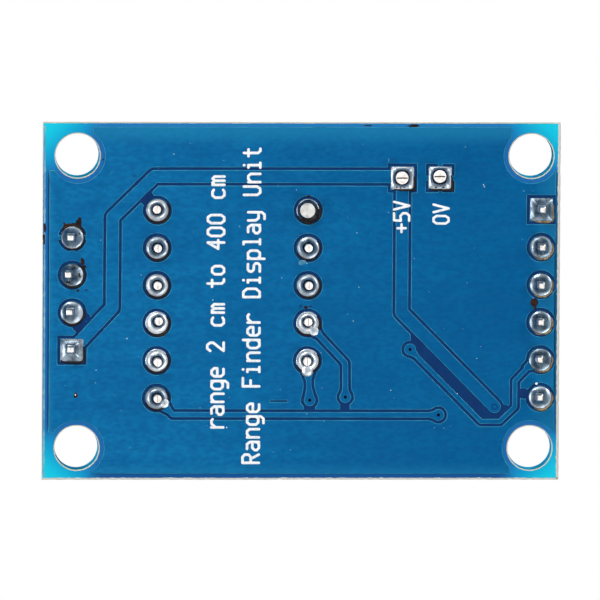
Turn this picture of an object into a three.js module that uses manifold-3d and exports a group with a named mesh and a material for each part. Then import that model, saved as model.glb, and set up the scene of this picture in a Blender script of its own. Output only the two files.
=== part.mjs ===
// A small circuit board that reads a plug-in ultrasonic ranging module and shows the distance.
// It lies component side up, with +Z up. Z = 0 is the plane of the longest pins' tips, and the
// origin is below the middle of the board. +Y points to the sensor socket, so the display reads
// upright when it is looked at along +Y. The power terminal's wire openings face -X.
import * as THREE from 'three';
import { mergeVertices } from 'three/addons/utils/BufferGeometryUtils.js';
import Module from 'manifold-3d';

const wasm = await Module();
wasm.setup();

// ---- Driving dimensions, in millimetres ----
const PITCH = 2.54;
const TAIL = 1.5; // the longest pins stand this far out of the board's underside
const BOARD = { width: 24.2, length: 34.9, thickness: 1.6, scoreWidth: 0.15, scoreDepth: 0.35 };
const COPPER = { thickness: 0.05, margin: 0.4, clearance: 0.3, cornerX: 3.13, cornerY: 3.4 };
const MOUNT_HOLES = { radius: 1.55, spacingX: 19.75, spacingY: 30.55, middle: [0.02, -0.17] };
const SOLDER = { padRadius: 0.8, height: 0.85, wetting: 0.08 };

const SOCKET = { at: [-0.52, 15.44], count: 4, depth: 2.5, height: 8.5, pin: 0.6, drill: 0.5 };
const HEADER = { at: [0.11, -16.14], count: 6, depth: 2.5, height: 2.54, post: 6, pin: 0.64, drill: 0.5 };
const DISPLAY = {
  at: [0.17, 4.65], width: 22.5, depth: 14, height: 7.2, wall: 0.8, face: 1, standoff: 0.1,
  carrier: 1, columns: 6, rowSpacing: 4 * PITCH, pinRadius: 0.25, pinLength: 1.1, drill: 0.4,
};
const DIGIT = { count: 3, spacing: 7.5, height: 9.14, width: 5, bar: 1, gap: 0.3, lean: 0.17, dot: 0.55 };

// The terminal's frame has its pins at x = 0 and its wire openings at x = front.
const TERMINAL = {
  at: [-8.36, -8.03], front: -3, back: 2.7, width: 5.6, height: 8.5,
  pinRadius: 0.45, pinLength: 1.1, drill: 0.6, screwX: -1.55,
};
const CLAMP = { length: 2, width: 2, height: 3.1, wall: 0.25, floor: 0.3, bridge: 0.7, rest: 0.5 };
const CLAMP_BAY = { length: 2.1, width: 2.1, floor: 0.4, ceiling: 4.9 };
const CONTACT_BAR = { width: 1.2, bottom: 2.3, top: 2.75, front: -2.5 };
const SCREW = { shank: 0.7, head: 1, tip: 2.85, seat: 5.75, top: 7.4, slotWidth: 0.35, slotDepth: 0.7 };
const WIRE_ENTRY = { width: 1.9, bottom: 0.75, top: 2.35 };

const CONTROLLER = {
  at: [2.9, -8.7], length: 6.5, width: 4.4, height: 1, standoff: 0.1, leads: 10, pitch: 0.65,
};
const CHIP = { length: 1.6, width: 0.8, height: 0.45, end: 0.3, lip: 0.02 };
const SEGMENT_RESISTORS = { at: [2.1, -3.95], count: 8, spacing: 1.4 };

const ROUND = 32;
const COARSE = 12;
const PAD_SIDES = 16;

const UNDER = TAIL;
const TOP = UNDER + BOARD.thickness;

// ---- Materials ----
const finish = (color, roughness, metalness = 0) =>
  new THREE.MeshStandardMaterial({ color, roughness, metalness });
const MATERIALS = {
  board: finish(0x11659f, 0.35),
  tin: finish(0xc9ccd0, 0.3, 1),
  contact: finish(0xb9a36b, 0.35, 1),
  steel: finish(0xaeb2b6, 0.35, 1),
  blackPlastic: finish(0x17181a, 0.5),
  displayShell: finish(0x2a2b2c, 0.55),
  lightGuide: finish(0xe2dfd4, 0.4),
  carrier: finish(0x8f7a45, 0.6),
  terminalPlastic: finish(0x1c8a4a, 0.45),
  chipPlastic: finish(0x202124, 0.6),
  resistor: finish(0x1b1c1f, 0.4),
  capacitor: finish(0xa58a66, 0.5),
  led: finish(0xe9e4d2, 0.3),
};

// ---- Shape helpers ----

// A closed geometry as a solid that can be cut and joined.
function solid(geometry) {
  const bare = new THREE.BufferGeometry();
  bare.setAttribute('position', geometry.getAttribute('position'));
  if (geometry.index) bare.setIndex(geometry.index);
  const merged = mergeVertices(bare, 1e-4);
  const corners = merged.index.array;
  const kept = [];
  for (let i = 0; i < corners.length; i += 3) {
    const [a, b, c] = [corners[i], corners[i + 1], corners[i + 2]];
    if (a !== b && b !== c && c !== a) kept.push(a, b, c);
  }
  return new wasm.Manifold(
    new wasm.Mesh({
      numProp: 3,
      vertProperties: merged.getAttribute('position').array,
      triVerts: new Uint32Array(kept),
    }),
  );
}

// A solid as a flat-shaded geometry.
function geometryOf(made) {
  const mesh = made.getMesh();
  const shared = new THREE.BufferGeometry();
  shared.setAttribute('position', new THREE.BufferAttribute(new Float32Array(mesh.vertProperties), 3));
  shared.setIndex(new THREE.BufferAttribute(new Uint32Array(mesh.triVerts), 1));
  const flat = shared.toNonIndexed();
  flat.computeVertexNormals();
  return flat;
}

// A box centred on (x, y) that stands on height z.
function block(sizeX, sizeY, sizeZ, x = 0, y = 0, z = 0) {
  return solid(new THREE.BoxGeometry(sizeX, sizeY, sizeZ).translate(x, y, z + sizeZ / 2));
}

// A box between two opposite corners.
function between([x0, y0, z0], [x1, y1, z1]) {
  return block(x1 - x0, y1 - y0, z1 - z0, (x0 + x1) / 2, (y0 + y1) / 2, z0);
}

// A turned solid about +Z. The profile's points are [radius, height], and they rise.
function turned(profile, sides, x = 0, y = 0) {
  const points = profile.map(([radius, height]) => new THREE.Vector2(radius, height));
  const made = new THREE.LatheGeometry(points, sides).rotateX(Math.PI / 2);
  return solid(made.rotateZ(Math.PI / sides).translate(x, y, 0));
}

function cylinder(radius, bottom, top, sides = ROUND, x = 0, y = 0) {
  return turned([[0, bottom], [radius, bottom], [radius, top], [0, top]], sides, x, y);
}

// An outline in X and Y, raised from bottom to top.
function prism(shape, bottom, top) {
  const raised = new THREE.ExtrudeGeometry(shape, { depth: top - bottom, bevelEnabled: false });
  return solid(raised.translate(0, 0, bottom));
}

// An outline of X and height, drawn out along Y and centred on it.
function drawnAlongY(points, width) {
  const shape = new THREE.Shape(points.map(([x, z]) => new THREE.Vector2(x, z)));
  const drawn = new THREE.ExtrudeGeometry(shape, { depth: width, bevelEnabled: false });
  return solid(drawn.rotateX(Math.PI / 2).translate(0, width / 2, 0));
}

const rectangle = (width, length) =>
  [[-1, -1], [1, -1], [1, 1], [-1, 1]].map(
    ([sx, sy]) => new THREE.Vector2((sx * width) / 2, (sy * length) / 2),
  );

const union = (solids) => solids.reduce((all, one) => all.add(one));

function piece(name, made, material, position = [0, 0, 0]) {
  const mesh = new THREE.Mesh(geometryOf(made), material);
  mesh.name = name;
  mesh.position.set(...position);
  return mesh;
}

// Parts that stand on the board's component side, which is height 0 for them.
function onBoard([x, y], ...children) {
  const made = new THREE.Group();
  made.position.set(x, y, TOP);
  made.add(...children);
  return made;
}

// The places of a row of pins about its middle.
const rowOf = (count) => Array.from({ length: count }, (_, i) => (i - (count - 1) / 2) * PITCH);

// ---- Pins and their solder, in the frame of the component side ----

const UNDERSIDE = -BOARD.thickness;
const TAIL_END = -TOP;

// Solder hangs under the board, hollow-sided, from its pad to the pin that it wets. A connector's
// first pad is square.
function solderJoint(pinRadius, square = false) {
  const across = square ? Math.SQRT2 : 1;
  const pad = SOLDER.padRadius * across;
  const neck = (pinRadius + SOLDER.wetting) * across;
  const steps = 4;
  const profile = [[0, UNDERSIDE - SOLDER.height]];
  for (let i = steps; i >= 0; i -= 1) {
    const down = i / steps;
    profile.push([neck + (pad - neck) * (1 - down) ** 2, UNDERSIDE - SOLDER.height * down]);
  }
  profile.push([0, UNDERSIDE]);
  return turned(profile, square ? 4 : PAD_SIDES);
}

// A square pin with both ends tapered.
function squarePin(size, bottom, top) {
  const taper = 0.3;
  const half = size * Math.SQRT1_2;
  const point = half * 0.62;
  return turned(
    [[0, bottom], [point, bottom], [half, bottom + taper], [half, top - taper], [point, top], [0, top]],
    4,
  );
}

// ---- The circuit board ----

const holeCentres = [-1, 1].flatMap((sx) =>
  [-1, 1].map((sy) => [
    MOUNT_HOLES.middle[0] + (sx * MOUNT_HOLES.spacingX) / 2,
    MOUNT_HOLES.middle[1] + (sy * MOUNT_HOLES.spacingY) / 2,
  ]),
);

// The display's pins, upper row first. Its lower row lacks the last one.
const displayPins = [1, -1]
  .flatMap((side) => rowOf(DISPLAY.columns).map((x) => [x, (side * DISPLAY.rowSpacing) / 2]))
  .slice(0, -1);

function pinHoles() {
  const hole = (part, dx, dy) =>
    cylinder(part.drill, UNDER - 1, TOP + 1, COARSE, part.at[0] + dx, part.at[1] + dy);
  return [
    ...rowOf(SOCKET.count).map((x) => hole(SOCKET, x, 0)),
    ...rowOf(HEADER.count).map((x) => hole(HEADER, x, 0)),
    ...displayPins.map(([x, y]) => hole(DISPLAY, x, y)),
    ...rowOf(2).map((y) => hole(TERMINAL, 0, y)),
  ];
}

// The laminate's edges are scored, and its copper stands back from the edges, holes and corners.
function circuitBoard() {
  const laminate = new THREE.ExtrudeGeometry(new THREE.Shape(rectangle(BOARD.width, BOARD.length)), {
    depth: BOARD.thickness - 2 * COPPER.thickness - 2 * BOARD.scoreDepth,
    bevelThickness: BOARD.scoreDepth,
    bevelSize: BOARD.scoreWidth,
    bevelOffset: -BOARD.scoreWidth,
    bevelSegments: 1,
  }).translate(0, 0, UNDER + COPPER.thickness + BOARD.scoreDepth);
  const copper = block(
    BOARD.width - 2 * COPPER.margin, BOARD.length - 2 * COPPER.margin, BOARD.thickness, 0, 0, UNDER,
  );
  const bare = holeCentres.flatMap(([x, y]) => [
    cylinder(MOUNT_HOLES.radius + COPPER.clearance, UNDER - 1, TOP + 1, ROUND, x, y),
    block(
      2 * COPPER.cornerX, 2 * COPPER.cornerY, BOARD.thickness + 2,
      (Math.sign(x) * BOARD.width) / 2, (Math.sign(y) * BOARD.length) / 2, UNDER - 1,
    ),
  ]);
  const holes = holeCentres.map(([x, y]) =>
    cylinder(MOUNT_HOLES.radius, UNDER - 1, TOP + 1, ROUND, x, y));
  const board = solid(laminate).add(copper.subtract(union(bare)));
  return piece('circuit_board', board.subtract(union([...holes, ...pinHoles()])), MATERIALS.board);
}

// ---- The three-digit display ----

// The seven bars and the point of one digit, as outlines that lean to the right.
function digitOutlines(middle) {
  const { height, width, bar, gap, lean, dot } = DIGIT;
  const slanted = (x, y) => new THREE.Vector2(middle + x + lean * y, y);
  const barOutline = (cx, cy, length, upright) => {
    const end = length / 2;
    const shoulder = end - bar / 2;
    const outline = [
      [-end, 0], [-shoulder, -bar / 2], [shoulder, -bar / 2],
      [end, 0], [shoulder, bar / 2], [-shoulder, bar / 2],
    ];
    return outline.map(([u, v]) => (upright ? slanted(cx - v, cy + u) : slanted(cx + u, cy + v)));
  };
  const half = [(width - bar) / 2, (height - bar) / 2];
  const level = [-1, 0, 1].map((side) => barOutline(0, side * half[1], 2 * half[0] - gap, false));
  const upright = [[-1, -1], [-1, 1], [1, -1], [1, 1]].map(([sx, sy]) =>
    barOutline(sx * half[0], (sy * half[1]) / 2, half[1] - gap, true));
  const [dotX, dotY] = [width / 2 + 1.05, dot - height / 2];
  const point = Array.from({ length: COARSE }, (_, i) => {
    const turn = (2 * Math.PI * i) / COARSE;
    return new THREE.Vector2(
      middle + dotX + lean * dotY + dot * Math.cos(turn), dotY + dot * Math.sin(turn),
    );
  });
  return [...level, ...upright, point];
}

// The shell is a lidless box over a small carrier board. Clear resin fills it and its bars.
function display() {
  const { width, depth, height, wall, face, standoff, carrier, pinRadius } = DISPLAY;
  const digits = Array.from(
    { length: DIGIT.count }, (_, i) => (i - (DIGIT.count - 1) / 2) * DIGIT.spacing - 0.3,
  );
  const outlines = digits.flatMap(digitOutlines);
  const inner = [width - 2 * wall, depth - 2 * wall];
  const faceBottom = height - face;
  const carrierTop = standoff + carrier;

  const windows = outlines.map((points) => prism(new THREE.Shape(points), faceBottom - 0.1, height + 1));
  const shell = block(width, depth, height)
    .subtract(block(...inner, faceBottom + 1, 0, 0, -1))
    .subtract(union(windows));

  const pinBores = displayPins.map(([x, y]) =>
    cylinder(pinRadius, -1, carrierTop + 1, COARSE, x, y));
  const carrierBoard = block(...inner, carrier, 0, 0, standoff).subtract(union(pinBores));
  const bars = outlines.map((points) => prism(new THREE.Shape(points), faceBottom - 0.1, height - 0.05));
  const resin = union([block(...inner, faceBottom - carrierTop, 0, 0, carrierTop), ...bars]);

  const pins = displayPins.map(([x, y], i) => {
    const pin = cylinder(pinRadius, UNDERSIDE - DISPLAY.pinLength, carrierTop, COARSE);
    const made = pin.add(solderJoint(pinRadius));
    return piece(`display_pin_${i + 1}`, made, MATERIALS.tin, [x, y, 0]);
  });
  return onBoard(
    DISPLAY.at,
    piece('display_shell', shell, MATERIALS.displayShell),
    piece('display_light_guides', resin, MATERIALS.lightGuide),
    piece('display_carrier', carrierBoard, MATERIALS.carrier),
    ...pins,
  );
}

// ---- The socket for the ranging module ----

function sensorSocket() {
  const { count, depth, height, pin } = SOCKET;
  const length = count * PITCH + 0.24;
  const cell = { width: 1.5, depth: 1.3, top: 7 };
  const entry = 0.8;
  const funnel = 0.3;
  const cells = rowOf(count).flatMap((x) => [
    block(cell.width, cell.depth, cell.top + 1, x, 0, -1),
    block(entry, entry, height - cell.top + 1, x, 0, cell.top - 0.5),
    turned(
      [
        [0, height - funnel], [entry * Math.SQRT1_2, height - funnel],
        [(entry + 2 * funnel) * Math.SQRT1_2, height], [(entry + 2 * funnel) * Math.SQRT1_2, height + 1],
        [0, height + 1],
      ],
      4, x,
    ),
  ]);
  const housing = block(length, depth, height).subtract(union(cells));

  // Each contact is a fork whose two leaves pinch the module's pin.
  const leaf = { thickness: 0.18, open: 0.44, pinch: 0.3, waist: 5.8, top: 6.6 };
  const leaves = [-1, 1].map((side) =>
    drawnAlongY(
      [
        [side * leaf.open, 0.2], [side * (leaf.open + leaf.thickness), 0.2],
        [side * (leaf.pinch + leaf.thickness), leaf.waist],
        [side * (leaf.open + leaf.thickness), leaf.top], [side * leaf.open, leaf.top],
        [side * leaf.pinch, leaf.waist],
      ],
      0.8,
    ));
  const fork = union([block(1.24, 0.9, 0.35, 0, 0, 0.1), ...leaves, squarePin(pin, TAIL_END, 0.4)]);
  const contacts = rowOf(count).map((x, i) => {
    const made = fork.add(solderJoint(pin / 2, i === count - 1));
    return piece(`sensor_socket_contact_${i + 1}`, made, MATERIALS.contact, [x, 0, 0]);
  });
  return onBoard(
    SOCKET.at, piece('sensor_socket_housing', housing, MATERIALS.blackPlastic), ...contacts,
  );
}

// ---- The pin header ----

function programmingHeader() {
  const { count, depth, height, post, pin } = HEADER;
  const half = depth / 2;
  const notch = 0.45;
  const side = rowOf(count).flatMap((x) => [
    [x - PITCH / 2, notch - half], [x - PITCH / 2 + notch, -half], [x + PITCH / 2 - notch, -half],
  ]);
  side.push([(count * PITCH) / 2, notch - half]);
  const outline = [...side, ...side.map(([x, y]) => [-x, -y])];
  const strip = prism(new THREE.Shape(outline.map((p) => new THREE.Vector2(...p))), 0, height);
  const bores = rowOf(count).map((x) => block(pin, pin, height + 2, x, 0, -1));

  const straight = squarePin(pin, TAIL_END, height + post);
  const pins = rowOf(count).map((x, i) => {
    const made = straight.add(solderJoint(pin / 2, i === 0));
    return piece(`header_pin_${i + 1}`, made, MATERIALS.tin, [x, 0, 0]);
  });
  return onBoard(
    HEADER.at, piece('header_housing', strip.subtract(union(bores)), MATERIALS.blackPlastic), ...pins,
  );
}

// ---- The power terminal ----

// A screw stays in its place and its threaded clamp climbs it, to press a wire on the contact bar.
function powerTerminal() {
  const { front, back, width, height, pinRadius, screwX } = TERMINAL;
  const shankBore = SCREW.shank + 0.1;
  const headBore = SCREW.head + 0.1;
  const riser = 2 * pinRadius;

  const cuts = rowOf(2).flatMap((y) => [
    block(
      CLAMP_BAY.length, CLAMP_BAY.width, CLAMP_BAY.ceiling - CLAMP_BAY.floor,
      screwX, y, CLAMP_BAY.floor,
    ),
    between(
      [front - 1, y - WIRE_ENTRY.width / 2, WIRE_ENTRY.bottom],
      [front + 1, y + WIRE_ENTRY.width / 2, WIRE_ENTRY.top],
    ),
    between(
      [screwX, y - CONTACT_BAR.width / 2, -1], [riser / 2, y + CONTACT_BAR.width / 2, CONTACT_BAR.top],
    ),
    cylinder(shankBore, CLAMP_BAY.ceiling - 0.5, SCREW.seat, ROUND, screwX, y),
    cylinder(headBore, SCREW.seat - 0.1, height + 1, ROUND, screwX, y),
  ]);
  const lean = 0.15;
  const slope = drawnAlongY(
    [
      [front - 1, 5.6], [front, 5.6], [front + lean, height], [front + lean, height + 1],
      [front - 1, height + 1],
    ],
    width + 2,
  );
  const housing = between([front, -width / 2, 0], [back, width / 2, height])
    .subtract(union([...cuts, slope]));

  const contact = union([
    cylinder(pinRadius, UNDERSIDE - TERMINAL.pinLength, 0.5, PAD_SIDES),
    solderJoint(pinRadius, true),
    block(riser, riser, CONTACT_BAR.top),
    between(
      [CONTACT_BAR.front, -CONTACT_BAR.width / 2, CONTACT_BAR.bottom],
      [riser / 2, CONTACT_BAR.width / 2, CONTACT_BAR.top],
    ),
  ]);

  const clamp = block(CLAMP.length, CLAMP.width, CLAMP.height)
    .subtract(block(
      CLAMP.length + 1, CLAMP.width - 2 * CLAMP.wall, CLAMP.height - CLAMP.floor - CLAMP.bridge,
      0, 0, CLAMP.floor,
    ))
    .subtract(cylinder(SCREW.shank + 0.05, CLAMP.height - CLAMP.bridge - 0.5, CLAMP.height + 1));

  const edge = 0.15;
  const blank = turned(
    [
      [0, SCREW.tip], [SCREW.shank - edge, SCREW.tip], [SCREW.shank, SCREW.tip + edge],
      [SCREW.shank, SCREW.seat], [SCREW.head, SCREW.seat], [SCREW.head, SCREW.top - edge],
      [SCREW.head - edge, SCREW.top], [0, SCREW.top],
    ],
    ROUND,
  );
  const screw = blank.subtract(
    block(SCREW.slotWidth, 3 * SCREW.head, SCREW.slotDepth + 1, 0, 0, SCREW.top - SCREW.slotDepth),
  );

  const poles = rowOf(2).flatMap((y, i) => [
    piece(`terminal_contact_${i + 1}`, contact, MATERIALS.tin, [0, y, 0]),
    piece(`terminal_clamp_${i + 1}`, clamp, MATERIALS.steel, [screwX, y, CLAMP.rest]),
    piece(`terminal_screw_${i + 1}`, screw, MATERIALS.steel, [screwX, y, 0]),
  ]);
  return onBoard(
    TERMINAL.at, piece('terminal_housing', housing, MATERIALS.terminalPlastic), ...poles,
  );
}

// ---- The chips ----

function controller() {
  const { at, length, width, height, standoff, leads, pitch } = CONTROLLER;
  const foot = width / 2 + 1;
  const lead = drawnAlongY(
    [
      [foot, 0], [foot, 0.15], [foot - 0.42, 0.15], [foot - 0.58, 0.65], [width / 2 - 0.2, 0.65],
      [width / 2 - 0.2, 0.5], [foot - 0.7, 0.5], [foot - 0.54, 0],
    ],
    0.25,
  );
  const oneSide = Array.from({ length: leads }, (_, i) =>
    lead.translate([0, (i - (leads - 1) / 2) * pitch, 0]));
  const otherSide = oneSide.map((one) => one.rotate([0, 0, 180]));
  const body = block(width, length, height, 0, 0, standoff);
  const mark = cylinder(0.35, standoff + height - 0.05, 3, COARSE, width / 2 - 0.8, 0.8 - length / 2);
  const made = union([body.subtract(mark), ...oneSide, ...otherSide]).rotate([0, 0, -90]);
  return onBoard(at, piece('controller', made, MATERIALS.chipPlastic));
}

// A chip part lies along X, or along Y if it is upright. Its plated ends stand out a little.
function chipPart(name, at, material, upright = false, lens = 0) {
  const { length, width, height, end, lip } = CHIP;
  const ends = [-1, 1].map((side) => block(end, width, height, (side * (length - end)) / 2));
  const middle = block(length - end, width - 2 * lip, height - lip, 0, 0);
  const parts = lens ? [middle, ...ends, block(0.8, width - 2 * lip, height + lens)] : [middle, ...ends];
  return onBoard(at, piece(name, union(parts).rotate([0, 0, upright ? 90 : 0]), material));
}

function chips() {
  const { at, count, spacing } = SEGMENT_RESISTORS;
  const row = Array.from({ length: count }, (_, i) =>
    chipPart(
      `segment_resistor_${i + 1}`, [at[0] + (i - (count - 1) / 2) * spacing, at[1]],
      MATERIALS.resistor, true,
    ));
  return [
    ...row,
    chipPart('supply_capacitor', [-2.4, -7.6], MATERIALS.capacitor, true),
    chipPart('core_capacitor', [8.8, -6.4], MATERIALS.capacitor, true),
    chipPart('reset_capacitor', [5.3, -13.2], MATERIALS.capacitor),
    chipPart('reset_resistor', [2.3, -13.2], MATERIALS.resistor),
    chipPart('power_led_resistor', [-5.2, -13.2], MATERIALS.resistor),
    chipPart('power_led', [-2.4, -13.2], MATERIALS.led, false, 0.2),
  ];
}

const part = new THREE.Group();
part.name = 'range_display_board';
part.add(
  circuitBoard(), display(), sensorSocket(), programmingHeader(), powerTerminal(), controller(),
  ...chips(),
);
export default part;
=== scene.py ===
import bpy
import bmesh
import math
import numpy as np
from mathutils import Matrix, Vector


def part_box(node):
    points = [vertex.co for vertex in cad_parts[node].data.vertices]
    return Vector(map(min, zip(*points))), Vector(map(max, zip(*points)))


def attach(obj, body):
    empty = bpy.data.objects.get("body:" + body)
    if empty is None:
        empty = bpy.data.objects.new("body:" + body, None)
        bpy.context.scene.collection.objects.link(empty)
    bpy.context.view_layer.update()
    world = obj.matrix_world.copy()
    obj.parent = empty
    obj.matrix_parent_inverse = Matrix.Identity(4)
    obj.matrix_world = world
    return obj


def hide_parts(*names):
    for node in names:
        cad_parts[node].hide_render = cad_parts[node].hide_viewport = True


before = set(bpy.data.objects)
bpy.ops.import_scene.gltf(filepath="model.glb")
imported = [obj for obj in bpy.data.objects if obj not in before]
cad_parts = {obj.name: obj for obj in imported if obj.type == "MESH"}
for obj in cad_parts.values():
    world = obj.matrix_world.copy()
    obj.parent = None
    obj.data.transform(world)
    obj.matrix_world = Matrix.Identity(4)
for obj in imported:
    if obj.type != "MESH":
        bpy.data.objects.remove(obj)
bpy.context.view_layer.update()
rng = np.random.default_rng(11)
MM = 0.001

# ---- Places, in millimetres, from the CAD model ----


def box_mm(node):
    low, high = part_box(node)
    return np.array(low) * 1000, np.array(high) * 1000


board_low, board_high = box_mm("circuit_board")
UNDER, TOP = float(board_low[2]), float(board_high[2])
COPPER = 0.05
HALF_X, HALF_Y = float(board_high[0]), float(board_high[1])


def foot(node):
    """The middle of a pin's tail, from the lowest vertices of its CAD node."""
    co = np.array([v.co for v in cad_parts[node].data.vertices]) * 1000
    low = co[co[:, 2] < co[:, 2].min() + 0.01]
    return low[:, :2].mean(0), float(co[:, 2].min())


DISPLAY_PINS = [f"display_pin_{i}" for i in range(1, 12)]
SOCKET_PINS = [f"sensor_socket_contact_{i}" for i in range(1, 5)]
HEADER_PINS = [f"header_pin_{i}" for i in range(1, 7)]
POWER_PINS = ["terminal_contact_1", "terminal_contact_2"]
FEET = {n: foot(n) for n in DISPLAY_PINS + SOCKET_PINS + HEADER_PINS + POWER_PINS}
AT = {n: FEET[n][0] for n in FEET}
HOLES = [(x, y) for x in (-9.855, 9.895) for y in (-15.445, 15.105)]
PAD = 0.8

# ---- Materials ----

# Heights of bumps, in metres
FINE, SOFT, COARSE = 0.000005, 0.000006, 0.00002


def srgb(r, g, b):
    def one(v):
        v /= 255
        return v / 12.92 if v <= 0.04045 else ((v + 0.055) / 1.055) ** 2.4
    return (one(r), one(g), one(b), 1)


def fill(node, sockets):
    for key, value in sockets.items():
        node.inputs[key.replace("_", " ")].default_value = value


class Tree:
    """A node tree, with helpers for procedural detail."""

    def __init__(self, tree, coordinates):
        self.t = tree
        self.coord = self.add("TexCoord").outputs[coordinates]

    def add(self, kind, **sockets):
        node = self.t.nodes.new("ShaderNode" + kind)
        fill(node, sockets)
        return node

    def link(self, a, b):
        self.t.links.new(a, b)

    def feed(self, socket, value):
        """Links the socket to an output, or sets it to a number or colour."""
        if isinstance(value, bpy.types.NodeSocket):
            self.link(value, socket)
        elif value is not None:
            socket.default_value = value

    def math(self, op, a, b=None):
        node = self.add("Math")
        node.operation = op
        self.feed(node.inputs[0], a)
        self.feed(node.inputs[1], b)
        return node.outputs[0]

    def mix(self, factor, a, b):
        node = self.add("Mix")
        node.data_type = "RGBA"
        for socket, value in ((0, factor), (6, a), (7, b)):
            self.feed(node.inputs[socket], value)
        return node.outputs[2]

    def axes(self):
        node = self.add("SeparateXYZ")
        self.link(self.coord, node.inputs[0])
        return node.outputs


class Nodes(Tree):
    """A Principled material in the row frame."""

    def __init__(self, name, **sockets):
        self.m = bpy.data.materials.new(name)
        self.m.use_nodes = True
        super().__init__(self.m.node_tree, "Object")
        self.p = self.t.nodes["Principled BSDF"]
        fill(self.p, sockets)

    def noise(self, scale, detail=4, stretch=(1, 1, 1)):
        place = self.add("Mapping", Scale=stretch)
        node = self.add("TexNoise", Scale=scale, Detail=detail, Roughness=0.55)
        self.link(self.coord, place.inputs["Vector"])
        self.link(place.outputs["Vector"], node.inputs["Vector"])
        return node.outputs["Fac"]

    def span(self, value, low, high, to_low=0.0, to_high=1.0):
        node = self.add("MapRange", From_Min=low, From_Max=high, To_Min=to_low, To_Max=to_high)
        node.interpolation_type = "SMOOTHSTEP"
        self.link(value, node.inputs["Value"])
        return node.outputs["Result"]

    def color(self, value):
        self.link(value, self.p.inputs["Base Color"])

    def rough(self, value):
        self.link(value, self.p.inputs["Roughness"])

    def bump(self, height, distance, strength=1.0):
        node = self.add("Bump", Strength=strength, Distance=distance)
        self.link(height, node.inputs["Height"])
        self.link(node.outputs["Normal"], self.p.inputs["Normal"])

    def blend(self, factor, a, b):
        node = self.add("MixShader")
        for socket, value in zip(node.inputs, (factor, a, b)):
            self.link(value, socket)
        return node.outputs[0]


def mottled(name, dark, light, scale, rough=(0.4, 0.5), bump=0.0, bump_scale=None, low=0.35, high=0.65,
            stretch=(1, 1, 1), **sockets):
    """A material whose colour and roughness wander between two values, with a fine bump."""
    m = Nodes(name, **sockets)
    field = m.noise(scale, stretch=stretch)
    m.color(m.mix(m.span(field, low, high), srgb(*dark), srgb(*light)))
    m.rough(m.span(m.noise(scale * 1.7, 3, stretch), 0.3, 0.7, *rough))
    if bump:
        m.bump(m.noise(bump_scale or scale * 3, 3, stretch), bump)
    return m.m


def mask_over_copper(name, specular):
    """Blue mask, with painted light: a little lighter towards +Y, and lighter along the edges where light
    glows through the laminate. Its lengths are in metres.
    """
    m = Nodes(name, Specular_IOR_Level=specular)
    x, y = m.axes()[:2]
    # Painted light: the mask is lighter towards +Y, the side the light falls from.
    side = m.span(y, -0.0175, 0.0175)
    base = m.mix(side, srgb(1, 98, 151), srgb(15, 117, 171))
    cloud = m.span(m.noise(260, 5), 0.3, 0.75)
    base = m.mix(cloud, base, m.mix(side, srgb(1, 90, 143), srgb(11, 107, 162)))
    grain = m.span(m.noise(4200, 4, (1, 0.5, 1)), 0.35, 0.65)
    base = m.mix(m.math("MULTIPLY", grain, 0.4), base, srgb(2, 72, 128))
    streak = m.span(m.noise(1500, 3, (1, 0.06, 1)), 0.35, 0.75, 0.0, 0.35)
    base = m.mix(streak, base, srgb(6, 82, 140))
    # Painted light glowing through the laminate's edges: the mask lightens along each edge, most on the -X
    # and +Y sides.
    edge = m.span(x, -0.0117, -0.0103, 0.6, 0)
    for value, low, high, first, last in (
            (y, 0.0165, 0.0172, 0, 0.6), (x, 0.0108, 0.0117, 0, 0.35), (y, -0.0172, -0.0150, 0.4, 0)):
        edge = m.math("MAXIMUM", edge, m.span(value, low, high, first, last))
    m.color(m.mix(edge, base, srgb(30, 128, 172)))
    m.rough(m.span(m.noise(2500, 3, (1, 0.15, 1)), 0.3, 0.7, 0.3, 0.42))
    m.bump(m.noise(3000, 4, (1, 0.2, 1)), 0.000004, 0.5)
    return m.m


def mask_over_laminate():
    """Navy in the gaps, with painted light: bluer at the edges and round the holes, lightest on the -X
    side, and cyan where light shines through.
    """
    m = Nodes("mask_over_laminate", Specular_IOR_Level=0.1)
    x, y = m.axes()[:2]
    ax, ay = m.math("ABSOLUTE", x), m.math("ABSOLUTE", y)
    base = m.mix(m.span(m.noise(700, 3), 0.35, 0.7), srgb(11, 54, 106), srgb(14, 47, 99))
    # Painted light at each edge: a bluer tone, lighter on the sides the light falls from.
    for value, low, high, first, last, tone in (
            (x, -0.0117, -0.0115, 1, 0, (34, 120, 182)), (x, 0.0115, 0.0117, 0, 1, (20, 82, 144)),
            (y, 0.0170, 0.0172, 0, 1, (26, 106, 174)), (y, -0.0172, -0.0170, 1, 0, (24, 92, 134))):
        base = m.mix(m.span(value, low, high, first, last), base, srgb(*tone))
    # Painted light: a bluer ring round each mounting hole.
    hole_x, hole_y = np.abs(HOLES).mean(0) * MM
    dx, dy = m.math("SUBTRACT", ax, float(hole_x)), m.math("SUBTRACT", ay, float(hole_y))
    from_hole = m.math("SQRT", m.math("ADD", m.math("MULTIPLY", dx, dx), m.math("MULTIPLY", dy, dy)))
    base = m.mix(m.span(from_hole, 0.0020, 0.0022, 1, 0), base, srgb(30, 104, 168))

    def past(value, start, slope):
        return m.math("MULTIPLY", m.math("MAXIMUM", m.math("SUBTRACT", value, start), 0.0), slope)

    out = m.math("ADD", past(ax, 0.0088, 320.0), past(ay, 0.0140, 290.0))
    both = m.math("MULTIPLY", m.span(ax, 0.0080, 0.0098), m.span(ay, 0.0132, 0.0150))
    corner = m.math("MULTIPLY", m.span(out, 0.45, 1.15), both)
    glow = m.mix(m.span(out, 1.0, 1.9), srgb(16, 148, 200), srgb(22, 200, 226))
    m.color(m.mix(corner, base, glow))
    m.rough(m.span(m.noise(2600, 3), 0.3, 0.7, 0.28, 0.4))
    m.bump(m.noise(2600, 3), 0.000004, 0.5)
    return m.m


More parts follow.
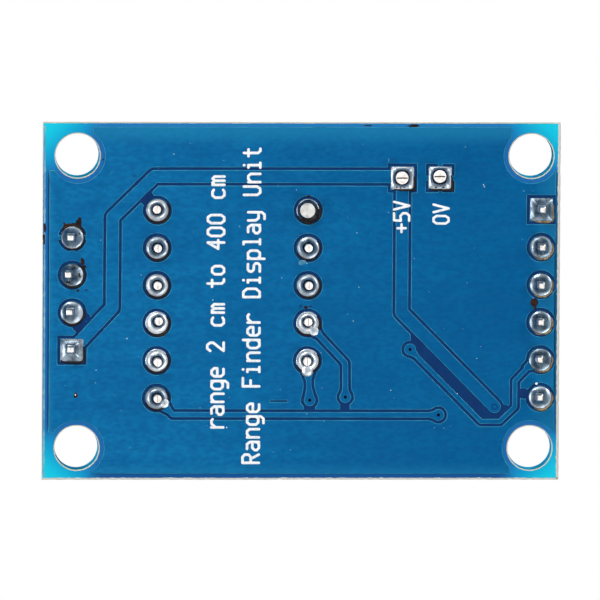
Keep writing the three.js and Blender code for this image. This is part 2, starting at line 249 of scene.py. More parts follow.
def laminate_edge():
    m = Nodes("laminate_edge", Roughness=0.75)
    x, y = m.axes()[:2]
    layers = m.noise(9000, 3, (0.05, 0.05, 1))
    tone = m.mix(m.span(layers, 0.3, 0.7), srgb(202, 195, 170), srgb(216, 210, 188))
    broken = m.math("MAXIMUM", m.span(x, 0.0114, 0.0118), m.span(y, -0.0172, -0.0168, 1, 0))
    patch = m.span(m.noise(900, 4), 0.45, 0.7, 0.0, 0.3)
    m.color(m.mix(m.math("MAXIMUM", m.math("MULTIPLY", broken, 0.85), patch), tone, srgb(224, 226, 220)))
    m.bump(m.noise(9000, 4, (0.3, 0.3, 1)), 0.00004)
    return m.m


def solder(name, bright, dull, rough, bump):
    m = Nodes(name, Metallic=1.0)
    tone = m.mix(m.span(m.noise(1800, 5), 0.35, 0.7), srgb(*bright), srgb(*dull))
    m.color(m.mix(m.span(m.noise(5200, 3), 0.66, 0.74), tone, srgb(96, 100, 108)))
    m.rough(m.span(m.noise(2600, 4), 0.3, 0.7, *rough))
    m.bump(m.noise(3600, 4), bump, 0.7)
    return m.m


def metal(name, light, dark, scale, rough, stretch=(1, 1, 1)):
    m = Nodes(name, Metallic=1.0)
    m.color(m.mix(m.span(m.noise(scale, 4, stretch), 0.35, 0.7), srgb(*light), srgb(*dark)))
    m.rough(m.span(m.noise(scale * 2, 3, stretch), 0.3, 0.7, *rough))
    m.bump(m.noise(scale * 3, 3, stretch), SOFT)
    return m.m


MAT = {
    "mask": mask_over_copper("mask_over_copper", 0.08),
    "mask_top": mask_over_copper("mask_over_copper_top", 0.5),
    "bare": mask_over_laminate(),
    "edge": laminate_edge(),
    # Painted highlight: the copper's bevelled rims are a lighter teal, where light catches the mask's edge.
    "mask_rim_highlight": mottled("mask_over_copper_rim_highlight", (34, 128, 168), (56, 148, 176), 1200, (0.3, 0.42),
                        Specular_IOR_Level=0.1),
    "score": mottled("scored_line", (70, 140, 168), (128, 178, 184), 1500, (0.5, 0.7), stretch=(0.3, 1, 1)),
    # Four copies of one solder, from lit to shaded: painted light and shade for how brightly each joint
    # reflects.
    "solder": solder("solder", (226, 229, 232), (176, 184, 192), (0.2, 0.36), SOFT),
    "solder_grey": solder("solder_grey", (184, 190, 196), (136, 145, 154), (0.28, 0.42), SOFT),
    "solder_mid": solder("solder_mid", (168, 178, 188), (112, 125, 137), (0.26, 0.42), 0.000008),
    "solder_dark": solder("solder_dark", (150, 163, 174), (84, 98, 111), (0.2, 0.42), 0.000012),
    # Painted shade: a dark bluish metal for the crease round each pin and the brims of dimmer joints.
    "neck": metal("solder_neck_painted_shade", (42, 58, 76), (18, 26, 36), 3000, (0.3, 0.5)),
    "pin": metal("tinned_pin", (226, 222, 216), (182, 176, 170), 2600, (0.28, 0.5), (1, 1, 0.3)),
    "cut": metal("cut_pin_end", (244, 236, 230), (206, 196, 190), 4200, (0.45, 0.6)),
    "seam": mottled("cut_mark", (34, 28, 24), (80, 66, 56), 4000, (0.6, 0.8)),
    # Painted shadow with burnt flux: the dark crescents on the pads' lower-right sides, and burnt flux
    # round the first socket joints.
    "painted_shadow_and_char": mottled("flux_painted_shadow_and_char", (7, 6, 6), (26, 17, 13), 2600, (0.4, 0.7), COARSE,
                    Specular_IOR_Level=0.25),
    "amber": mottled("flux_amber", (104, 84, 38), (164, 140, 82), 2600, (0.2, 0.4), COARSE,
                     Coat_Weight=0.4),
    "stain": mottled("flux_stain", (16, 9, 7), (52, 30, 22), 3000, (0.4, 0.7), COARSE,
                     Specular_IOR_Level=0.12),
    "haze": mottled("flux_haze", (28, 106, 148), (72, 138, 164), 2400, (0.4, 0.7)),
    "silk": mottled("silk_ink", (222, 228, 232), (248, 250, 250), 5000, (0.5, 0.65), 0.00001, 7000,
                    0.3, 0.6),
    "dust": mottled("dust", (150, 200, 220), (236, 240, 240), 3000, (0.7, 0.9)),
    # Painted light: the holes' walls are cyan-blue, as light comes through the laminate and blue mask.
    "wall": mottled("hole_wall_painted_light", (20, 128, 172), (30, 166, 200), 2600, (0.6, 0.8), Specular_IOR_Level=0.0),
    # Painted shade: near black, for the shade inside the vias' holes.
    "hole": mottled("painted_via_shade", (4, 5, 10), (14, 13, 18), 3000, (0.6, 0.8), Specular_IOR_Level=0.05),
    "black": mottled("black_moulding", (18, 19, 21), (24, 25, 27), 1600, (0.4, 0.52), FINE, 9000),
    "shell": mottled("display_shell_moulding", (27, 28, 30), (32, 33, 35), 900, (0.44, 0.54), FINE, 9000),
    "guide": mottled("light_guide_resin", (214, 208, 192), (236, 232, 222), 700, (0.22, 0.34), SOFT, 4000,
                     Coat_Weight=0.3),
    "carrier": mottled("carrier_laminate", (120, 98, 52), (158, 134, 78), 1400, (0.5, 0.7),
                       stretch=(1, 1, 5)),
    "brass": metal("contact_metal", (214, 200, 158), (176, 158, 110), 2000, (0.25, 0.42)),
    "green": mottled("terminal_moulding", (16, 116, 60), (21, 127, 67), 800, (0.38, 0.48), 0.000004, 9000),
    "steel": metal("zinc_steel", (206, 208, 210), (160, 164, 168), 1800, (0.28, 0.44), (1, 1, 0.4)),
    "epoxy": mottled("chip_moulding", (28, 29, 31), (44, 45, 47), 2400, (0.5, 0.66), 0.00001, 9000),
    "film": mottled("resistor_film", (14, 15, 18), (28, 29, 33), 2600, (0.25, 0.42), 0.000008),
    "ceramic": mottled("fired_ceramic", (150, 118, 82), (182, 150, 110), 2200, (0.4, 0.55), 0.00001),
    "alumina": mottled("alumina", (214, 212, 204), (236, 234, 228), 2400, (0.5, 0.65)),
    "lens": mottled("led_resin", (226, 218, 180), (240, 236, 214), 1600, (0.12, 0.22), Coat_Weight=0.5),
}

# ---- Mesh helpers ----


def finish_mesh(bm, name, mats, body="board", smooth=35):
    """bm is in millimetres. The object sits at the origin of the row frame."""
    bmesh.ops.recalc_face_normals(bm, faces=bm.faces)
    bmesh.ops.scale(bm, vec=(MM, MM, MM), verts=bm.verts)
    me = bpy.data.meshes.new(name)
    bm.to_mesh(me)
    bm.free()
    for m in mats:
        me.materials.append(MAT[m])
    me.polygons.foreach_set("use_smooth", [True] * len(me.polygons))
    me.set_sharp_from_angle(angle=math.radians(smooth))
    ob = bpy.data.objects.new(name, me)
    bpy.context.scene.collection.objects.link(ob)
    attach(ob, body)
    return ob


def bridge(bm, a, b, mat, closed=True):
    """Quads between two rows of vertices."""
    n = len(a)
    for i in range(n if closed else n - 1):
        bm.faces.new((a[i], a[(i + 1) % n], b[(i + 1) % n], b[i])).material_index = mat


def skin(bm, loops, mat=0, cap=True):
    """Quads between rings of points, with the ends closed."""
    made = [[bm.verts.new(p) for p in loop] for loop in loops]
    for a, b in zip(made, made[1:]):
        bridge(bm, a, b, mat)
    if cap:
        for ring in (made[0][::-1], made[-1]):
            bm.faces.new(ring).material_index = mat
    return made


def ring_edges(bm, ring):
    return [bm.edges.get((a, b)) for a, b in zip(ring, ring[1:] + ring[:1])]


def fill_flat(bm, edges):
    bmesh.ops.triangle_fill(bm, use_beauty=True, use_dissolve=False, edges=edges)


def cad_mesh(node):
    """A CAD node's mesh, in millimetres and with its corners joined."""
    bm = bmesh.new()
    bm.from_mesh(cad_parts[node].data)
    bmesh.ops.scale(bm, vec=(1000, 1000, 1000), verts=bm.verts)
    bmesh.ops.remove_doubles(bm, verts=bm.verts, dist=1e-4)
    return bm


def flatten(bm):
    bmesh.ops.dissolve_limit(bm, angle_limit=0.01, verts=bm.verts, edges=bm.edges)


def directions(t, p=None):
    """Points at the angles t of a unit circle, or of nearly a square for a high p."""
    c, s = np.cos(t), np.sin(t)
    k = 1 if p is None else (np.abs(c) ** p + np.abs(s) ** p) ** (-1 / p)
    return np.stack([c * k, s * k], 1)


def outline(n, p=None):
    return directions((np.arange(n) + 0.5) * 2 * math.pi / n, p)


def flat_ring(place, shape, size, z):
    """A level ring of the given shape and size round a place."""
    return [(place[0] + x * size, place[1] + y * size, z) for x, y in shape]


# ---- Flat artwork: fields, their outlines, and plates raised from them ----


class Field:
    """Distances in millimetres on a grid; negative is inside."""

    def __init__(self, x0, x1, y0, y1, step):
        self.x0, self.y0, self.step = x0, y0, step
        self.x, self.y = np.meshgrid(np.arange(x0, x1, step), np.arange(y0, y1, step))

    def disc(self, c, r=0.0):
        return np.hypot(self.x - c[0], self.y - c[1]) - r

    def square(self, c, h, k=None):
        return np.maximum(np.abs(self.x - c[0]) - h, np.abs(self.y - c[1]) - (h if k is None else k))

    def path(self, points, width):
        best = np.full(self.x.shape, 1e9)
        for (ax, ay), (bx, by) in zip(points, points[1:]):
            dx, dy = bx - ax, by - ay
            long = max(dx * dx + dy * dy, 1e-12)
            t = np.clip(((self.x - ax) * dx + (self.y - ay) * dy) / long, 0, 1)
            best = np.minimum(best, np.hypot(self.x - ax - t * dx, self.y - ay - t * dy))
        return best - width / 2

    def convex(self, points):
        """Inside a convex polygon."""
        best = np.full(self.x.shape, -1e9)
        pairs = list(zip(points, points[1:] + points[:1]))
        way = math.copysign(1, sum(ax * by - bx * ay for (ax, ay), (bx, by) in pairs))
        for (ax, ay), (bx, by) in pairs:
            off = (self.x - ax) * (by - ay) - (self.y - ay) * (bx - ax)
            best = np.maximum(best, way * off / math.hypot(bx - ax, by - ay))
        return best

    def taper(self, a, wide_a, b, wide_b):
        """A straight piece that narrows from one half-width to another."""
        (ax, ay), (bx, by) = a, b
        long = math.dist(a, b)
        nx, ny = (ay - by) / long, (bx - ax) / long
        return self.convex([(ax + nx * wide_a, ay + ny * wide_a), (bx + nx * wide_b, by + ny * wide_b),
                            (bx - nx * wide_b, by - ny * wide_b), (ax - nx * wide_a, ay - ny * wide_a)])

    def loops(self, f, tolerance=0.006):
        """Closed outlines of f < 0, with the inside on the left."""
        f = np.where(np.abs(f) < 1e-6, 1e-6, f)
        f[0, :] = f[-1, :] = f[:, 0] = f[:, -1] = 1e-3
        inside = f < 0
        corners = [inside[:-1, :-1], inside[:-1, 1:], inside[1:, 1:], inside[1:, :-1]]
        count = sum(c.astype(int) for c in corners)
        after = {}
        for j, i in np.argwhere((count > 0) & (count < 4)):
            c = [bool(k[j, i]) for k in corners]
            edges = ((j, i, 0), (j, i + 1, 1), (j + 1, i, 0), (j, i, 1))
            exits = [k for k in range(4) if c[k] and not c[(k + 1) % 4]]
            enters = [k for k in range(4) if not c[k] and c[(k + 1) % 4]]
            for k in exits:
                after[edges[k]] = edges[enters[0] if len(enters) == 1 else (k - 1) % 4]
        found = []
        while after:
            start = next(iter(after))
            chain, here = [], start
            while here in after:
                chain.append(here)
                here = after.pop(here)
            pts = []
            for j, i, upright in chain:
                a, b = f[j, i], (f[j + 1, i] if upright else f[j, i + 1])
                t = a / (a - b)
                pts.append((self.x0 + self.step * (i + (0 if upright else t)),
                            self.y0 + self.step * (j + (t if upright else 0))))
            pts = simplify(np.array(pts), tolerance)
            if len(pts) >= 3:
                found.append(pts)
        return found


def simplify(p, tolerance):
    """A closed line with the points dropped that lie within tolerance of it."""
    far = int(np.argmax(np.hypot(*(p - p[0]).T)))
    keep = {0, far}
    ring = np.vstack([p, p[:1]])
    stack = [(0, far), (far, len(p))]
    while stack:
        a, b = stack.pop()
        if b - a < 2:
            continue
        d = ring[b] - ring[a]
        rel = ring[a + 1:b] - ring[a]
        long = math.hypot(*d)
        off = np.abs(rel[:, 0] * d[1] - rel[:, 1] * d[0]) / long if long > 1e-9 else np.hypot(*rel.T)
        k = int(np.argmax(off))
        if off[k] > tolerance:
            keep.add(a + 1 + k)
            stack += [(a, a + 1 + k), (a + 1 + k, b)]
    return p[sorted(keep)]


def outward(p):
    """The outward direction at each point of a closed line, scaled to move its sides evenly."""
    d = np.roll(p, -1, 0) - p
    d /= np.maximum(np.hypot(*d.T), 1e-9)[:, None]
    n = np.stack([d[:, 1], -d[:, 0]], 1)
    m = n + np.roll(n, 1, 0)
    return m / np.maximum((m * m).sum(1), 0.7)[:, None] * 2


def plate(bm, loops, base, top, bevel=0.0, rim_mat=0):
    """Raises filled outlines from height base to height top, with a bevelled upper edge."""
    way = 1 if top > base else -1
    rim, foot_edges = [], []
    for p in loops:
        n = outward(p)
        rows = [(p, base)]
        if bevel:
            rows += [(p, top - way * bevel), (p - n * bevel * 0.35, top - way * bevel * 0.3)]
        rows += [(p - n * bevel, top)]
        made = skin(bm, [[(x, y, z) for x, y in q] for q, z in rows], rim_mat, cap=False)
        rim += ring_edges(bm, made[-1])
        foot_edges += ring_edges(bm, made[0])
    fill_flat(bm, rim)
    fill_flat(bm, foot_edges)


# ---- The underside's copper ----

CLEAR = 0.18
HOLE_MARGIN = 1.84
WINDOW_X, WINDOW_Y = 8.87, 14.1


def clear_corners(g, pour):
    """Keeps copper off the mounting holes and the corners outside them."""
    for x, y in HOLES:
        pour = np.maximum(pour, -g.disc((x, y), HOLE_MARGIN))
        window = np.maximum(WINDOW_X - math.copysign(1, x) * g.x, WINDOW_Y - math.copysign(1, y) * g.y)
        pour = np.maximum(pour, -window)
    return pour


def under_copper():
    g = Field(-12.3, 12.3, -17.8, 17.8, 0.04)
    six, five, socket, header, power = (
        [AT[n] for n in names]
        for names in (DISPLAY_PINS[:6], DISPLAY_PINS[6:], SOCKET_PINS, HEADER_PINS, POWER_PINS))
    ground, supply = power
    sx = socket[3]

    wide = 0.87
    signals = [
        g.path([supply, (-8.46, supply[1]), (-8.46, 9.92), (-5.71, 12.73), (0.40, 12.75), sx], wide),
        g.path([supply, (0.71, supply[1]), (7.10, -13.06)], wide),
        g.path([(3.22, -7.34), (8.09, -12.16), (8.09, -13.42), (7.11, -14.43), (5.36, -14.43),
                (4.38, -15.34), header[4]], 0.33),
        g.path([six[5], (7.64, 8.63), (7.66, -9.28)], 0.36),
        g.path([five[3], (4.15, -2.97), (6.45, -2.99)], 0.4),
        g.path([five[4], (6.66, -0.59)], 0.36),
    ]
    vias = [(3.22, -7.34), (7.66, -9.28), (6.45, -2.99), (6.66, -0.59)]
    rings = [g.disc(v, 0.4) for v in vias]
    for a, toward, wide_a, wide_b, long in (
            (vias[0], (8.09, -12.16), 0.36, 0.165, 0.62), (vias[1], (7.66, 0), 0.36, 0.18, 0.6),
            (vias[2], (4.15, -2.97), 0.36, 0.2, 0.6), (vias[3], five[4], 0.38, 0.18, 0.85),
            (five[4], vias[3], 0.66, 0.18, 1.35), (five[3], (4.15, -2.97), 0.6, 0.2, 1.2),
            (header[4], (4.38, -15.34), 0.6, 0.165, 1.2), (six[5], (7.64, 8.63), 0.6, 0.18, 1.3)):
        end = np.add(a, np.subtract(toward, a) * long / math.dist(a, toward))
        rings.append(g.taper(a, wide_a, end, wide_b))
    pads = [g.disc(p, PAD) for p in six + five + socket[1:3] + header[1:]]
    squares = [g.square(p, PAD) for p in (sx, supply, header[0])]
    reliefs = [g.disc(socket[0], PAD), g.square(ground, PAD)]

    items = np.minimum.reduce(signals + rings + pads + squares)
    pour = np.maximum.reduce([g.x - (HALF_X - 0.46), -g.x - (HALF_X - 0.29), g.y - (HALF_Y - 0.45),
                              -g.y - (HALF_Y - 0.35)])
    pour = clear_corners(g, pour)
    gaps = [
        g.convex([(1.95, -7.35), (3.05, -7.42), (8.09, -12.2), (8.09, -13.42), (7.1, -13.06)]),
        g.convex([(8.09, -13.42), (7.11, -14.3), (6.95, -13.72), (7.1, -13.06)]),
        g.square((7.0, -0.58), 0.45, 0.38), g.square((7.05, -2.97), 0.4, 0.32),
        g.disc((-7.0, 10.45), 0.5), g.disc((1.62, 14.92), 0.5), g.disc((1.05, 14.5), 0.28),
        g.disc((6.2, -15.0), 0.36), g.path([(6.73, 2.04), (6.73, 0.95)], 0.11),
    ]
    pour = np.maximum.reduce([pour, CLEAR - items] + [-gap for gap in gaps] + [0.16 - r for r in reliefs])
    spokes = [np.maximum(np.minimum(np.abs(g.x - c[0]), np.abs(g.y - c[1])) - 0.16, g.disc(c, 1.15))
              for c in (socket[0], ground)]
    return g, np.minimum.reduce([items, pour] + spokes + reliefs), vias


# Each side of the laminate: its normal, the insets of its scored faces, and how ragged it broke
SIDES = [((0, -1), 0.2, 0.1, 0.02), ((1, 0), 0.17, 0.1, 0.018), ((0, 1), 0.03, 0.12, 0.006),
         ((-1, 0), 0.05, 0.26, 0.008)]
HOLE_RADIUS = 1.54
EDGE, PAINTED_LIGHT_WALL = 1, 2


def bare_sides(bm):
    """The laminate's outline, its broken and scored edges, and its mounting holes."""
    corners = [(-HALF_X, -HALF_Y), (HALF_X, -HALF_Y), (HALF_X, HALF_Y), (-HALF_X, HALF_Y)]
    points, own, before = [], [], []
    for side, (a, b) in enumerate(zip(corners, corners[1:] + corners[:1])):
        count = int(math.dist(a, b) / 0.12)
        for k in range(count):
            points.append([p + (q - p) * k / count for p, q in zip(a, b)])
            own.append(side)
            before.append((side - 1) % 4 if k == 0 else side)
    points, own, before = np.array(points), np.array(own), np.array(before)
    normals = np.array([n for n, *_ in SIDES], float)
    near, far, ragged = np.array([rest for _, *rest in SIDES]).T
    wave = np.abs(np.convolve(rng.normal(size=len(points) + 4), [0.3, 0.6, 1, 0.6, 0.3], "valid"))
    chips = np.abs(rng.normal(size=len(points))) * (rng.random(len(points)) < 0.2)

    def ring(z, depth, rough, shift=0, chipped=0, inset=near):
        uneven = np.roll(wave, shift) * rough + chips * chipped
        move = [normals[s] * (inset[s] * depth + ragged[s] * uneven)[:, None] for s in (own, before)]
        return [(x, y, z) for x, y in points - move[0] - move[1] * (own != before)[:, None]]

    low, high = UNDER + COPPER, TOP - COPPER
    scored = [ring(low, 1, 0.5, 0, 0.9), ring(low + 0.06, 0.5, 0.6, 2, 0.4), ring(low + 0.2, 0.08, 0.5, 3),
              ring(low + 0.5, 0, 0.6, 5), ring(2.2, 0.1, 0.7, 5, 0, far),
              ring(high - 0.4, 0.5, 0.5, 4, 0, far), ring(high, 1, 0.4, 7, 0, far)]
    walls = [skin(bm, scored, EDGE, cap=False)]
    drilled = [(0.02, low), (-0.05, low + 0.04), (-0.05, low + 0.045), (-0.09, high - 0.04), (-0.03, high)]
    for x, y in HOLES:
        rings = [flat_ring((x, y), outline(64), HOLE_RADIUS + wider, z) for wider, z in drilled]
        walls.append(skin(bm, rings, EDGE, cap=False))
    # Faces inside the board's outline are the holes' walls, which take the cyan-blue of painted light.
    for f in bm.faces:
        middle = f.calc_center_median()
        if abs(middle.x) < 11.5 and abs(middle.y) < 17 and low + 0.042 < middle.z < high - 0.02:
            f.material_index = PAINTED_LIGHT_WALL
    for end in (0, -1):
        fill_flat(bm, [edge for wall in walls for edge in ring_edges(bm, wall[end])])


bm = bmesh.new()
bare_sides(bm)
laminate = finish_mesh(bm, "board_laminate", ["bare", "edge", "wall"], smooth=25)
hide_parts("circuit_board")

grid, copper, VIAS = under_copper()
bm = bmesh.new()
# The copper's bevels take the painted highlight.
plate(bm, grid.loops(copper), UNDER + COPPER, UNDER, 0.045, 1)
finish_mesh(bm, "board_copper_under", ["mask", "mask_rim_highlight"], smooth=15)

# Painted shade: dark discs stand for the shade inside the vias' holes.
bm = bmesh.new()
for via in VIAS:
    skin(bm, [flat_ring(via, outline(20), r, UNDER - h) for r, h in ((0.11, 0.003), (0.09, 0.008))])
finish_mesh(bm, "painted_shade_in_vias", ["hole"])

bm = bmesh.new()
g = Field(6.5, 7.7, -13.7, -12.5, 0.02)
tented = g.disc((7.10, -13.06))
plate(bm, g.loops(np.abs(tented - 0.17) - 0.03), UNDER + 0.004, UNDER - 0.004, 0.002)
finish_mesh(bm, "tented_via", ["bare"], smooth=15)

bm = bmesh.new()
g = Field(-12.1, 12.1, 17.1, 17.5, 0.02)
wavy = 0.02 * np.sin(g.x * 9) * np.sin(g.x * 2.3)
plate(bm, g.loops(g.path([(-11.85, 17.31), (11.8, 17.31)], 0.1) + wavy), UNDER + COPPER + 0.01,
      UNDER + COPPER - 0.008, 0.003)
finish_mesh(bm, "edge_score", ["score"], smooth=15)

# ---- Soldered pins ----

# A soldered pin's materials after its metal, and four copies of one solder from lit to shaded, which paint
# how much light each joint reflects
ALLOY, CUT, SEAM, PIN, PAINTED_SHADE = range(1, 6)
BRIGHT, GREY, MID, DARK = "solder", "solder_grey", "solder_mid", "solder_dark"


def solder_cone(bm, at, pad, pin, reach, power, square, square_pin, lean, seed, shaded_brim):
    """A hollow-sided cone of solder from its pad to the pin, a little uneven."""
    n = 48
    local = np.random.default_rng(seed)
    around = (np.arange(n) + 0.5) * 2 * math.pi / n
    waves = sum(local.normal() * 0.5 ** k * np.cos((k + 1) * around + local.uniform(0, 6.28))
                for k in range(4))
    edge, neck = outline(n, 18 if square else None), outline(n, 10 if square_pin else None)
    loops = []
    for t in (0, 0, 0.015, 0.04, 0.08, 0.14, 0.22, 0.31, 0.41, 0.51, 0.6, 0.69, 0.78, 0.86, 0.92, 0.96, 1):
        lip = 0.06 * (1 - math.exp(-t / 0.02))
        high = lip + (reach - lip) * t ** power * (1 + 0.08 * waves * math.sin(math.pi * t))
        p = edge * (pad * (1 + 0.012 * waves) * (1 - t))[:, None] + (neck * (pin + 0.015) + lean) * t
        loops.append([(at[0] + x, at[1] + y, UNDER - h) for (x, y), h in zip(p, high)])
    loops[0] = [(x, y, UNDER + 0.02) for x, y, _ in loops[1]]
    made = skin(bm, loops, ALLOY)
    # The rings next to the pin, and for dimmer solder the outer brim, take the dark metal of painted shade.
    dark = [made[-3 if square_pin else -5:]]
    if shaded_brim:
        dark.append(made[:5])
    for rings in dark:
        verts = {v for ring in rings for v in ring}
        for f in {f for v in verts for f in v.link_faces}:
            if len(f.verts) == 4 and all(v in verts for v in f.verts):
                f.material_index = PAINTED_SHADE


def square_tail(bm, at, half, tip, lean):
    rows = [(UNDER - 0.2, half, 0.4), (tip + 0.3, half, 0.95), (tip + 0.12, half * 0.84, 1),
            (tip + 0.05, half * 0.7, 1), (tip, half * 0.6, 1)]
    made = skin(bm, [flat_ring(at + lean * k, outline(24, 12), h, z) for z, h, k in rows], PIN)
    for v in made[-1] + made[-2]:
        for f in v.link_faces:
            f.material_index = CUT


def cut_tail(bm, at, r, tip, lean, along, mats):
    """A round pin cut off, with the ridge that the cutters leave across its end."""
    o = outline(28)
    c = at + lean
    skin(bm, [flat_ring(at + lean * 0.4, o, r, UNDER - 0.2), flat_ring(c, o, r, tip + 0.1)], mats[0])
    across = np.array([-along[1], along[0]])
    rows = []
    for f in (1.03, 1.0, 0.9, 0.5, 0.12):
        ridge = 0.06 * (1 - np.abs((o * f) @ across))
        z = tip + 0.12 - (0 if f > 1.01 else 0.05) - ridge * (f < 1.01)
        rows.append([(c[0] + x * r * f, c[1] + y * r * f, h) for (x, y), h in zip(o, z)])
    rows[0] = [(x, y, tip + 0.14) for x, y, _ in rows[0]]
    skin(bm, rows, mats[1])
    a, b = np.array(along) * r * 0.85, across * (0.014 + 0.03 * (r > 0.4))
    z = tip + 0.005
    quad = [c + a + b, c + a - b, c - a - b, c - a + b]
    skin(bm, [[(x, y, z + 0.03) for x, y in quad], [(x, y, z) for x, y in quad]], mats[2])


def soldered(node, lean, half, reach, power, solder_shade, seed, square=False, kind="square", along=(1, 0),
             metal_name="pin"):
    """A pin's CAD solid above the board, with a detailed tail and solder joint below it."""
    at, low = FEET[node]
    bm = cad_mesh(node)
    everything = bm.verts[:] + bm.edges[:] + bm.faces[:]
    cut = bmesh.ops.bisect_plane(bm, geom=everything, plane_co=(0, 0, UNDER + 0.01), plane_no=(0, 0, 1),
                                 clear_inner=True)
    bmesh.ops.holes_fill(bm, edges=[e for e in cut["geom_cut"] if isinstance(e, bmesh.types.BMEdge)])
    flatten(bm)
    lean = np.array(lean, float)
    if kind == "square":
        square_tail(bm, at, half, low, lean)
    else:
        # For the wide blob pin, the tail's sides take the dark metal of painted shade.
        mats = (PIN, CUT, SEAM) if kind == "cut" else (PAINTED_SHADE, PIN, PIN)
        cut_tail(bm, at, half, low, lean, along, mats)
    solder_cone(bm, at, PAD - 0.015, half, reach, power, square, kind == "square", lean * 0.7, seed,
                solder_shade != BRIGHT and not square)
    ob = finish_mesh(bm, node + "_soldered", [metal_name, solder_shade, "cut", "seam", "pin", "neck"], smooth=40)
    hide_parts(node)


# How far each pin leans, in +X and +Y
DISPLAY_LEANS = [(-0.13, 0.07), (-0.04, -0.01), (-0.06, -0.01), (-0.21, -0.10), (0.04, -0.03),
                 (-0.04, -0.03), (-0.09, 0.10), (-0.07, 0.0), (-0.07, -0.03), (-0.16, 0.0), (-0.02, 0.07)]
SOCKET_LEANS = [(-0.11, 0.14), (-0.15, 0.30), (-0.16, 0.22), (-0.17, 0.09)]
HEADER_LEANS = [(-0.10, 0.02), (-0.09, 0.02), (-0.05, 0.05), (-0.12, 0.08), (-0.14, 0.13), (-0.11, 0.12)]
POWER_LEANS = [(-0.21, 0.08), (-0.10, 0.08)]
# How hollow each joint's sides are, and the painted shade of its solder
DISPLAY_POWERS = [3.6, 2.3, 3.0, 3.4, 3.6, 3.2, 3.0, 2.2, 2.8, 4.6, 4.6]
HEADER_POWERS = [1.5, 2.2, 1.7, 1.7, 1.5, 1.9]
DISPLAY_SOLDER_SHADES = [GREY, MID, GREY, BRIGHT, BRIGHT, MID, DARK, MID, MID, BRIGHT, BRIGHT]
SOCKET_SOLDER_SHADES = [MID, DARK, MID, DARK]
WIDE = "display_pin_7"
for i, n in enumerate(DISPLAY_PINS):
    kind, half, reach = ("blob", 0.5, 0.9) if n == WIDE else ("cut", 0.26, 0.5)
    soldered(n, DISPLAY_LEANS[i], kind=kind, half=half, seed=20 + i, reach=reach, power=DISPLAY_POWERS[i],
             solder_shade=DISPLAY_SOLDER_SHADES[i])
for i, n in enumerate(SOCKET_PINS):
    soldered(n, SOCKET_LEANS[i], square=i == 3, half=0.25, seed=50 + i, power=(1.5, 1.5, 1.8, 2.2)[i],
             reach=(0.5, 0.5, 0.4, 0.26)[i], solder_shade=SOCKET_SOLDER_SHADES[i],
             metal_name="brass")
for i, n in enumerate(HEADER_PINS):
    soldered(n, HEADER_LEANS[i], square=i == 0, half=0.24, seed=60 + i, power=HEADER_POWERS[i], reach=0.45,
             solder_shade=MID if i == 5 else DARK)
for i, n in enumerate(POWER_PINS):
    soldered(n, POWER_LEANS[i], square=True, kind="cut", half=0.42, seed=70 + i, reach=0.42, power=2.3,
             along=(0, 1), solder_shade=GREY)

# ---- Flux, stains, dust and painted shadow on the underside ----


def crescent(bm, at, pad, direction, width, spread, seed, high, square=False):
    """A thin ridge against one side of a pad; it draws flux, and painted shadow on the pads' lower-right
    sides.
    """
    n = 44
    local = np.random.default_rng(seed)
    t = np.linspace(-spread, spread, n)
    a0 = math.atan2(direction[1], direction[0])
    u = directions(a0 + t, 9 if square else None)
    wide = width * np.cos(t / spread * math.pi / 2) ** 0.6
    wide = wide * (1 + 0.18 * np.convolve(local.normal(size=n + 4), np.ones(5) / 2.2, "valid"))
    rows = []
    for f, h in ((-0.05, 0.0), (-0.05, high), (0.4, high * 0.9), (0.8, high * 0.5), (1.0, 0.0)):
        radius = pad - 0.07 + (wide + 0.07) * max(f, 0)
        rows.append([(at[0] + x * r, at[1] + y * r, UNDER + 0.045 - h) for (x, y), r in zip(u, radius)])
    made = [[bm.verts.new(p) for p in row] for row in rows]
    for a, b in zip(made, made[1:]):
        bridge(bm, a, b, 0, closed=False)


def blob(bm, x, y, rx, ry, seed, high, z=UNDER, uneven=0.16):
    """An uneven thin drop on the board."""
    n = 26
    local = np.random.default_rng(seed)
    a = np.arange(n) * 2 * math.pi / n
    r = 1 + sum(local.normal() * uneven / (k + 1) * np.cos((k + 2) * a + local.uniform(0, 6.28))
                for k in range(5))
    r = np.maximum(r, 0.4)
    rows = [[(x + rx * f * q * math.cos(t), y + ry * f * q * math.sin(t), z - h) for t, q in zip(a, r)]
            for f, h in ((1, -0.01), (1, 0.002), (0.8, high * 0.7), (0.4, high))]
    skin(bm, rows)


# Dark crescents on the pads' lower-right sides: painted shadow, with burnt flux.
LOW_RIGHT = (0.86, -0.5)
CHAR = 0.12
bm = bmesh.new()
for i, n in enumerate(DISPLAY_PINS):
    crescent(bm, AT[n], PAD, LOW_RIGHT, 0.12 + 0.03 * (i % 3 == 0), 1.7, i, CHAR)
for i, n in enumerate(SOCKET_PINS):
    crescent(bm, AT[n], PAD, LOW_RIGHT, 0.12, 1.4, 20 + i, CHAR, square=i == 3)
for i, n in enumerate(POWER_PINS):
    crescent(bm, AT[n], PAD, LOW_RIGHT, 0.14, 1.2, 30 + i, CHAR, square=True)
crescent(bm, AT[WIDE], PAD - 0.2, LOW_RIGHT, 0.26, 1.6, 40, 0.3)
crescent(bm, AT[SOCKET_PINS[0]], PAD, (-1, -0.3), 0.14, 1.1, 41, CHAR)
crescent(bm, AT[SOCKET_PINS[1]], PAD, (-0.2, -1), 0.10, 0.9, 42, CHAR)
finish_mesh(bm, "flux_painted_shadow_and_char", ["painted_shadow_and_char"])
bm = bmesh.new()
for i, n in enumerate(HEADER_PINS):
    crescent(bm, AT[n], PAD, (0.75, -0.65), 0.11, 1.3, 50 + i, 0.08, square=i == 0)
finish_mesh(bm, "flux_amber", ["amber"])

